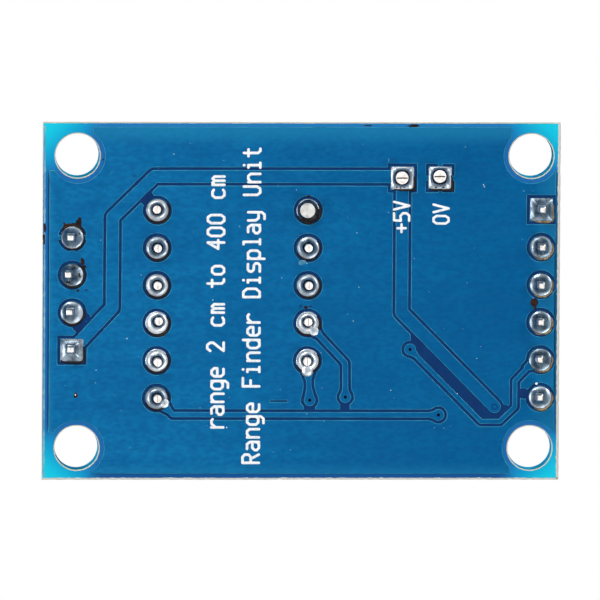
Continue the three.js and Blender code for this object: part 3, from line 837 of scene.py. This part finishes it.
# Burnt flux on the board: place and size
STAINS = [
    (-5.22, 15.04, 0.3, 0.22), (-5.46, 14.96, 0.26, 0.13), (-5.12, 15.84, 0.16, 0.2),
    (-5.28, 16.0, 0.1, 0.06), (-5.12, 15.45, 0.14, 0.42), (-2.72, 14.75, 0.24, 0.13),
    (-2.35, 14.62, 0.16, 0.08), (-0.75, 15.05, 0.08, 0.1), (-0.78, 14.5, 0.06, 0.07),
    (0.36, -15.76, 0.14, 0.1), (-7.15, -0.44, 0.06, 0.12), (0.37, -0.3, 0.09, 0.14),
    (0.3, -0.62, 0.05, 0.09), (0.28, 0.05, 0.05, 0.08), (6.05, -16.35, 0.04, 0.04),
    (-11.9, -4.42, 0.05, 0.22), (-11.89, -7.5, 0.09, 0.42), (-5.0, 17.3, 0.3, 0.1),
    (-4.2, 17.35, 0.4, 0.08), (-8.5, 11.3, 0.1, 0.03), (-9.6, 13.4, 0.05, 0.05), (6.33, 15.18, 0.19, 0.13),
]
bm = bmesh.new()
for k, (x, y, rx, ry) in enumerate(STAINS):
    on_laminate = abs(x) > HALF_X - 0.4 or abs(y) > HALF_Y - 0.4
    blob(bm, x, y, rx, ry, k, 0.03, UNDER + COPPER if on_laminate else UNDER)
blob(bm, 0.03, -15.7, 0.28, 0.27, 50, 0.06, uneven=0.05)
crescent(bm, AT[SOCKET_PINS[0]], PAD, (-1, 0.05), 0.26, 0.9, 43, 0.1)
crescent(bm, AT[SOCKET_PINS[1]], PAD - 0.2, (-0.6, -0.8), 0.2, 0.7, 44, 0.16)
crescent(bm, AT[POWER_PINS[0]], PAD, (1, 0.35), 0.07, 0.5, 45, 0.14, square=True)
# Burnt flux on the first two socket joints: which one, then the place from its centre and the size
for pin, dx, dy, rx, ry in (
        (0, -0.19, -0.2, 0.05, 0.08), (0, -0.29, -0.46, 0.07, 0.08), (0, -0.4, -0.62, 0.06, 0.06),
        (1, 0.42, 0.26, 0.08, 0.18), (1, -0.45, -0.06, 0.16, 0.1), (1, 0.0, -0.5, 0.13, 0.06)):
    x, y = AT[SOCKET_PINS[pin]] + (dx, dy)
    rise = 0.5 * ((PAD - math.hypot(dx, dy)) / 0.52) ** 1.5
    blob(bm, x, y, rx, ry, int(dx * 90 + dy * 700) % 97, 0.06, UNDER - rise, 0.3)
# Burnt flux on the power pads
for x, y, rx, ry in ((-7.76, -6.38, 0.07, 0.1), (-7.7, -6.62, 0.05, 0.09), (-7.74, -6.88, 0.06, 0.06),
                     (-7.74, -9.02, 0.05, 0.12), (-7.74, -9.52, 0.05, 0.12), (-8.5, -10.06, 0.1, 0.04)):
    blob(bm, x, y, rx, ry, int(-y * 100), 0.13)
finish_mesh(bm, "flux_stains", ["stain"])

bm = bmesh.new()
blob(bm, -2.66, -0.03, 0.2, 0.22, 92, 0.008, uneven=0.08)
blob(bm, -9.6, -5.83, 0.12, 0.07, 91, 0.008)
blob(bm, 1.2, -0.95, 0.1, 0.06, 92, 0.008)
finish_mesh(bm, "flux_haze", ["haze"])

bm = bmesh.new()
for k in range(80):
    x, y = rng.uniform(-11, 11), rng.uniform(-16.6, 16.6)
    s = abs(rng.normal()) * 0.012 + 0.010
    if min(math.hypot(x - a, y - b) for a, b in HOLES) < 2.2:
        continue
    blob(bm, x, y, s * rng.uniform(0.6, 1.6), s * rng.uniform(0.6, 1.6), 300 + k, 0.012)
finish_mesh(bm, "dust_specks", ["dust"])

bm = bmesh.new()
# A small painted highlight on the burnt flux drop at (6.33, 15.18), and a solder dot.
blob(bm, 6.3, 15.2, 0.08, 0.06, 77, 0.07, uneven=0.05)
blob(bm, 5.54, -15.88, 0.1, 0.09, 78, 0.08, uneven=0.05)
finish_mesh(bm, "solder_dot_and_painted_highlight", ["cut"])

# Solder that ran on to the tracks
bm = bmesh.new()
for x, y, rx, ry in ((4.62, -0.42, 0.48, 0.42), (1.96, -0.84, 0.38, 0.38), (6.86, 9.2, 0.36, 0.36)):
    blob(bm, x, y, rx, ry, int(x * 10), 0.14, uneven=0.04)
finish_mesh(bm, "solder_runs", ["solder"])

# ---- Printed lettering ----

# The strokes of each letter: points in hundredths of a millimetre, with a bar between strokes
GLYPHS = {
    "a": "55,0 55,60 40,80 8,80 | 55,44 15,44 0,30 0,14 15,0 40,0 55,14",
    "c": "52,72 40,80 15,80 0,62 0,18 15,0 40,0 52,8",
    "d": "55,110 55,0 | 55,62 40,80 15,80 0,62 0,18 15,0 40,0 55,18",
    "e": "0,42 55,42 55,62 40,80 15,80 0,62 0,18 15,0 50,0",
    "g": "55,80 55,-12 40,-30 10,-30 | 55,62 40,80 15,80 0,62 0,22 15,5 40,5 55,22",
    "i": "12,80 28,80 28,0 | 12,0 44,0 | 28,108 28,110",
    "l": "12,110 28,110 28,0 | 12,0 44,0",
    "m": "0,0 0,80 | 0,66 14,80 28,66 28,0 | 28,66 42,80 56,66 56,0",
    "n": "0,0 0,80 | 0,60 20,80 42,80 55,64 55,0",
    "o": "15,0 0,18 0,62 15,80 40,80 55,62 55,18 40,0 15,0",
    "p": "0,-30 0,80 | 0,62 15,80 40,80 55,62 55,18 40,0 15,0 0,18",
    "r": "0,0 0,80 | 0,52 24,78 45,80 55,72",
    "s": "50,80 12,80 0,68 0,54 12,42 43,40 55,28 55,12 43,0 0,0",
    "t": "24,110 24,15 38,0 52,0 | 2,80 48,80",
    "y": "0,80 0,30 15,10 55,10 | 55,80 55,-12 40,-30 10,-30",
    "D": "0,0 0,110 35,110 56,85 56,25 35,0 0,0",
    "F": "0,0 0,110 56,110 | 0,58 40,58",
    "R": "0,0 0,110 40,110 56,95 56,70 40,55 0,55 | 26,55 56,0",
    "U": "0,110 0,20 15,0 41,0 56,20 56,110",
    "V": "0,110 28,0 56,110",
    "0": "15,0 0,22 0,88 15,110 40,110 55,88 55,22 40,0 15,0",
    "2": "0,90 15,110 40,110 55,90 55,70 0,0 56,0",
    "4": "42,0 42,110 0,40 58,40",
    "5": "55,110 4,110 0,60 35,64 55,46 55,18 38,0 0,0",
    "+": "28,25 28,85 | 0,55 56,55",
}
STROKE = 0.178


def lettering(bm, text, x0, y0, pitch, scale=1.0):
    """Stroke letters that run towards -X, with their tops towards +Y."""
    lines = []
    for k, ch in enumerate(text):
        for stroke in GLYPHS.get(ch, "").split("|"):
            points = [[int(v) / 100 * scale for v in point.split(",")] for point in stroke.split()]
            if points:
                lines.append([(x0 - (k * pitch + x), y0 + y) for x, y in points])
    flat = np.array([p for line in lines for p in line])
    low, high = flat.min(0) - 0.3, flat.max(0) + 0.3
    g = Field(low[0], high[0], low[1], high[1], 0.025)
    f = np.minimum.reduce([g.path(line, STROKE * scale) for line in lines])
    plate(bm, g.loops(f, 0.004), UNDER + 0.004, UNDER - 0.018, 0.006)


bm = bmesh.new()
lettering(bm, "range 2 cm to 400 cm", 8.5, 5.23, 0.863)
lettering(bm, "Range Finder Display Unit", 10.9, 2.82, 0.863)
lettering(bm, "+5V", -4.72, -7.22, 0.76, 0.92)
lettering(bm, "0V", -5.3, -9.88, 0.76, 0.92)
finish_mesh(bm, "lettering_under", ["silk"], smooth=30)

# ---- The component side ----


def refine(node, mats, width=0.06, segments=2, angle=30, body="board", pick=None):
    """A CAD solid with softened edges and its own finish."""
    bm = cad_mesh(node)
    flatten(bm)
    if pick:
        for f in bm.faces:
            f.material_index = pick(f.calc_center_median(), f.normal)
    ob = finish_mesh(bm, node + "_detailed", mats, body, smooth=40)
    bevel = ob.modifiers.new("soften", "BEVEL")
    bevel.width = width * MM
    bevel.segments = segments
    bevel.limit_method = "ANGLE"
    bevel.angle_limit = math.radians(angle)
    bevel.harden_normals = True
    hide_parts(node)


refine("display_shell", ["shell"], 0.12, 3)
refine("display_light_guides", ["guide"], 0.05)
refine("display_carrier", ["carrier"], 0.03)
refine("sensor_socket_housing", ["black"])
refine("header_housing", ["black"])
refine("terminal_housing", ["green"], 0.08)
for k in (1, 2):
    refine(f"terminal_screw_{k}", ["steel"], 0.04, angle=40, body=f"screw_{k}")
    refine(f"terminal_clamp_{k}", ["steel"], 0.012, angle=40, body=f"clamp_{k}")

CHIP_LOW, CHIP_HIGH = box_mm("controller")
CHIP_X, CHIP_Y = ((CHIP_LOW + CHIP_HIGH) / 2)[:2]
CHIP_HALF, LEAD_REACH = 2.21, 3.0
refine("controller", ["epoxy", "pin"], 0.03,
       pick=lambda c, normal: int(abs(c.y - CHIP_Y) > CHIP_HALF))
CHIPS = {
    "resistor": ["film", "solder", "alumina"],
    "capacitor": ["ceramic", "solder", "ceramic"],
    "led": ["lens", "solder", "alumina"],
}
chip_nodes = [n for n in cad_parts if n.endswith(("capacitor", "power_led")) or "resistor" in n]


def lie(node):
    """A chip part's middle and the axis along which it lies."""
    low, high = box_mm(node)
    size = high - low
    return (low + high) / 2, int(size[1] > size[0])


for n in chip_nodes:
    kind = next(k for k in CHIPS if k in n)
    mid, axis = lie(n)

    def which(c, normal):
        if abs(c[axis] - mid[axis]) > 0.5:
            return 1
        return 2 if kind == "resistor" and normal.z < 0.5 else 0

    refine(n, CHIPS[kind], 0.03, pick=which)


def lead_x(k):
    """The place along X of one of the ten leads on a side of the controller."""
    return CHIP_X + (k - 4.5) * 0.65


# Solder under the chip parts and leads
bm = bmesh.new()


def foot_solder(x, y, sx, sy, high):
    shape = outline(20, 5) * (sx, sy)
    steps = ((1, -0.01), (1, 0.02), (0.86, high * 0.45), (0.72, high))
    skin(bm, [flat_ring((x, y), shape, f, TOP + h) for f, h in steps])


for n in chip_nodes:
    mid, axis = lie(n)
    for side in (-1, 1):
        c = mid.copy()
        c[axis] += side * 0.72
        half = [0.46, 0.46]
        half[axis] = 0.42
        foot_solder(c[0], c[1], *half, 0.22)
for k in range(10):
    for side in (-1, 1):
        foot_solder(lead_x(k), CHIP_Y + side * LEAD_REACH, 0.17, 0.45, 0.09)
finish_mesh(bm, "chip_solder", ["solder"])


def top_copper():
    g = Field(-12.3, 12.3, -17.8, 17.8, 0.05)
    pads = [g.disc(AT[n], 0.85) for n in AT]
    tracks = []
    resistors = sorted((n for n in chip_nodes if n.startswith("segment")), key=lambda n: box_mm(n)[0][0])
    for k, n in enumerate(resistors):
        low, high = box_mm(n)
        x, y0, y1 = (low[0] + high[0]) / 2, low[1] + 0.1, high[1] - 0.1
        lead = lead_x(k + 1)
        tracks.append(g.path([(x, y0), (x, -5.0), (lead, -5.35), (lead, CHIP_Y + LEAD_REACH)], 0.22))
        tracks.append(g.path([(x, y1), (x, -2.3)], 0.25))
        pads += [g.square((x, y0), 0.46, 0.42), g.square((x, y1), 0.46, 0.42)]
    for k in (3, 4):
        x, lead = AT[HEADER_PINS[k]][0], lead_x(k + 2)
        tracks.append(g.path([(lead, CHIP_Y - LEAD_REACH), (lead, -12.4), (x, -14.2), (x, -16.1)], 0.25))
    pads += [g.square(lie(n)[0][:2], 1.0, 0.6) for n in chip_nodes if not n.startswith("segment")]
    items = np.minimum.reduce(pads + tracks)
    pour = g.square((0, 0), HALF_X - 0.4, HALF_Y - 0.4)
    pour = np.maximum(clear_corners(g, pour), CLEAR - items)
    return g, np.minimum(items, pour)


bm = bmesh.new()
grid, copper = top_copper()
# The copper's bevels take the painted highlight.
plate(bm, grid.loops(copper, 0.01), TOP - COPPER, TOP, 0.045, 1)
finish_mesh(bm, "board_copper_top", ["mask_top", "mask_rim_highlight"], smooth=15)


INK, GAP = 0.15, 0.25
bm = bmesh.new()
g = Field(-12, 12, -17.5, 17.5, 0.04)
lines = []
for n in ("display_shell", "sensor_socket_housing", "header_housing", "terminal_housing"):
    low, high = box_mm(n)
    x0, y0, x1, y1 = low[0] - GAP, low[1] - GAP, high[0] + GAP, high[1] + GAP
    if n == "terminal_housing":
        lines.append(g.path([(low[0], y0), (x1, y0), (x1, y1), (low[0], y1)], INK))
    else:
        lines.append(g.path([(x0, y0), (x1, y0), (x1, y1), (x0, y1), (x0, y0)], INK))
x = CHIP_LOW[0] - 0.3
lines.append(g.path([(x, CHIP_LOW[1] + 1.3), (x, CHIP_HIGH[1] - 1.3)], INK))
lines.append(g.disc((x - 0.1, CHIP_LOW[1] + 0.5), 0.2))
on_board = g.square((0, 0), HALF_X - 0.3, HALF_Y - 0.3)
plate(bm, g.loops(np.maximum(np.minimum.reduce(lines), on_board)), TOP - 0.004, TOP + 0.02, 0.006)
finish_mesh(bm, "lettering_top", ["silk"], smooth=30)

# ---- Camera, floor and light ----


def area(name, place, size, power):
    """A lamp that points at the board."""
    light = bpy.data.lights.new(name, "AREA")
    light.shape = "RECTANGLE"
    light.size, light.size_y = size
    light.energy = power
    ob = bpy.data.objects.new(name, light)
    ob.location = place
    ob.rotation_euler = (-Vector(place)).to_track_quat("-Z", "Y").to_euler()
    ob.visible_camera = False
    bpy.context.scene.collection.objects.link(ob)


UNDER_LIGHTS = [(-0.22, 0.10, 0.56), (0.05, 0.24, 0.36), (0.20, -0.14, 0.32), (-0.10, -0.24, 0.30)]
for k, (x, y, power) in enumerate(UNDER_LIGHTS):
    area(f"under_{k}", (x, y, -0.24), (0.14, 0.14), power)
area("key", (-0.25, -0.3, 0.42), (0.3, 0.3), 2.9)
area("fill", (0.35, -0.1, 0.3), (0.3, 0.3), 1.4)
area("back", (0.05, 0.4, 0.3), (0.3, 0.2), 1.3)

# Level against height above or below the horizon: dark at the horizon and straight on, bright between
LEVELS = [(0.0, 0.24), (0.25, 0.40), (0.5, 0.7), (0.72, 0.92), (0.95, 0.92), (0.985, 0.52), (1.0, 0.44)]
world = bpy.data.worlds.new("studio")
bpy.context.scene.world = world
world.use_nodes = True
sky = Tree(world.node_tree, "Generated")
ramp = sky.add("ValToRGB")
sky.link(sky.math("ABSOLUTE", sky.axes()[2]), ramp.inputs[0])
while len(ramp.color_ramp.elements) < len(LEVELS):
    ramp.color_ramp.elements.new(0.5)
for element, (at, level) in zip(ramp.color_ramp.elements, LEVELS):
    element.position = at
    blue = min(max((0.85 - level) / 0.45, 0), 1)
    element.color = (level * (1 - 0.34 * blue), level * (1 - 0.06 * blue), level * (1 + 0.14 * blue), 1)
rays = sky.add("LightPath").outputs
seen = sky.mix(rays["Is Glossy Ray"], (0.15, 0.155, 0.16, 1), ramp.outputs[0])
seen = sky.mix(rays["Is Camera Ray"], seen, (1, 1, 1, 1))
sky.link(seen, sky.t.nodes["Background"].inputs["Color"])


def floor_paper():
    """Paper close by, evenly bright further off, and clear from below."""
    m = Nodes("floor_paper", Base_Color=(0.86, 0.86, 0.86, 1), Roughness=0.9)
    reach = m.add("VectorMath")
    reach.operation = "LENGTH"
    m.link(m.coord, reach.inputs[0])
    fade = m.add("MapRange", From_Min=0.06, From_Max=0.25)
    m.link(reach.outputs["Value"], fade.inputs["Value"])
    seen = m.blend(fade.outputs["Result"], m.p.outputs[0], m.add("Emission").outputs[0])
    seen = m.blend(m.add("NewGeometry").outputs["Backfacing"], seen, m.add("BsdfTransparent").outputs[0])
    m.link(seen, m.t.nodes["Material Output"].inputs["Surface"])
    return m.m


floor_bm = bmesh.new()
bmesh.ops.create_circle(floor_bm, cap_ends=True, segments=64, radius=3)
for f in floor_bm.faces:
    if f.normal.z < 0:
        f.normal_flip()
floor_mesh = bpy.data.meshes.new("floor")
floor_bm.to_mesh(floor_mesh)
floor_bm.free()
floor = bpy.data.objects.new("floor", floor_mesh)
bpy.context.scene.collection.objects.link(floor)
floor_mesh.materials.append(floor_paper())
for ray in ("diffuse", "glossy", "transmission", "shadow"):
    setattr(floor, "visible_" + ray, False)

DISTANCE = 1.1
DOWN_TILT, SIDE_TILT, ROLL = (math.radians(a) for a in (5.6, 2.9, 0.17))
PICTURE_WIDTH, PIXELS_PER_MM = 600, 14.86
aim = Vector((-0.00012, 0.0001, UNDER * MM))
away = Vector((-math.tan(DOWN_TILT), math.tan(SIDE_TILT), -1)).normalized()
cam = bpy.data.cameras.new("camera")
cam.sensor_width = 36
cam.lens = cam.sensor_width * DISTANCE / (PICTURE_WIDTH / PIXELS_PER_MM * MM)
cam.clip_start, cam.clip_end = 0.01, 10
shot = bpy.data.objects.new("camera", cam)
bpy.context.scene.collection.objects.link(shot)
# The picture's right is between the two that would set the board's X or its Y edges square
by_x = Vector((-1, 0, 0)).cross(away).normalized()
by_y = (Vector((0, -1, 0)) + away * away.y).normalized()
right = (by_x + by_y).normalized()
right = (right + away.cross(right) * ROLL).normalized()
turn = Matrix((right, away.cross(right).normalized(), away)).transposed().to_4x4()
shot.matrix_world = Matrix.Translation(aim + away * DISTANCE) @ turn
bpy.context.scene.camera = shot
bpy.context.scene.view_settings.view_transform = "Standard"
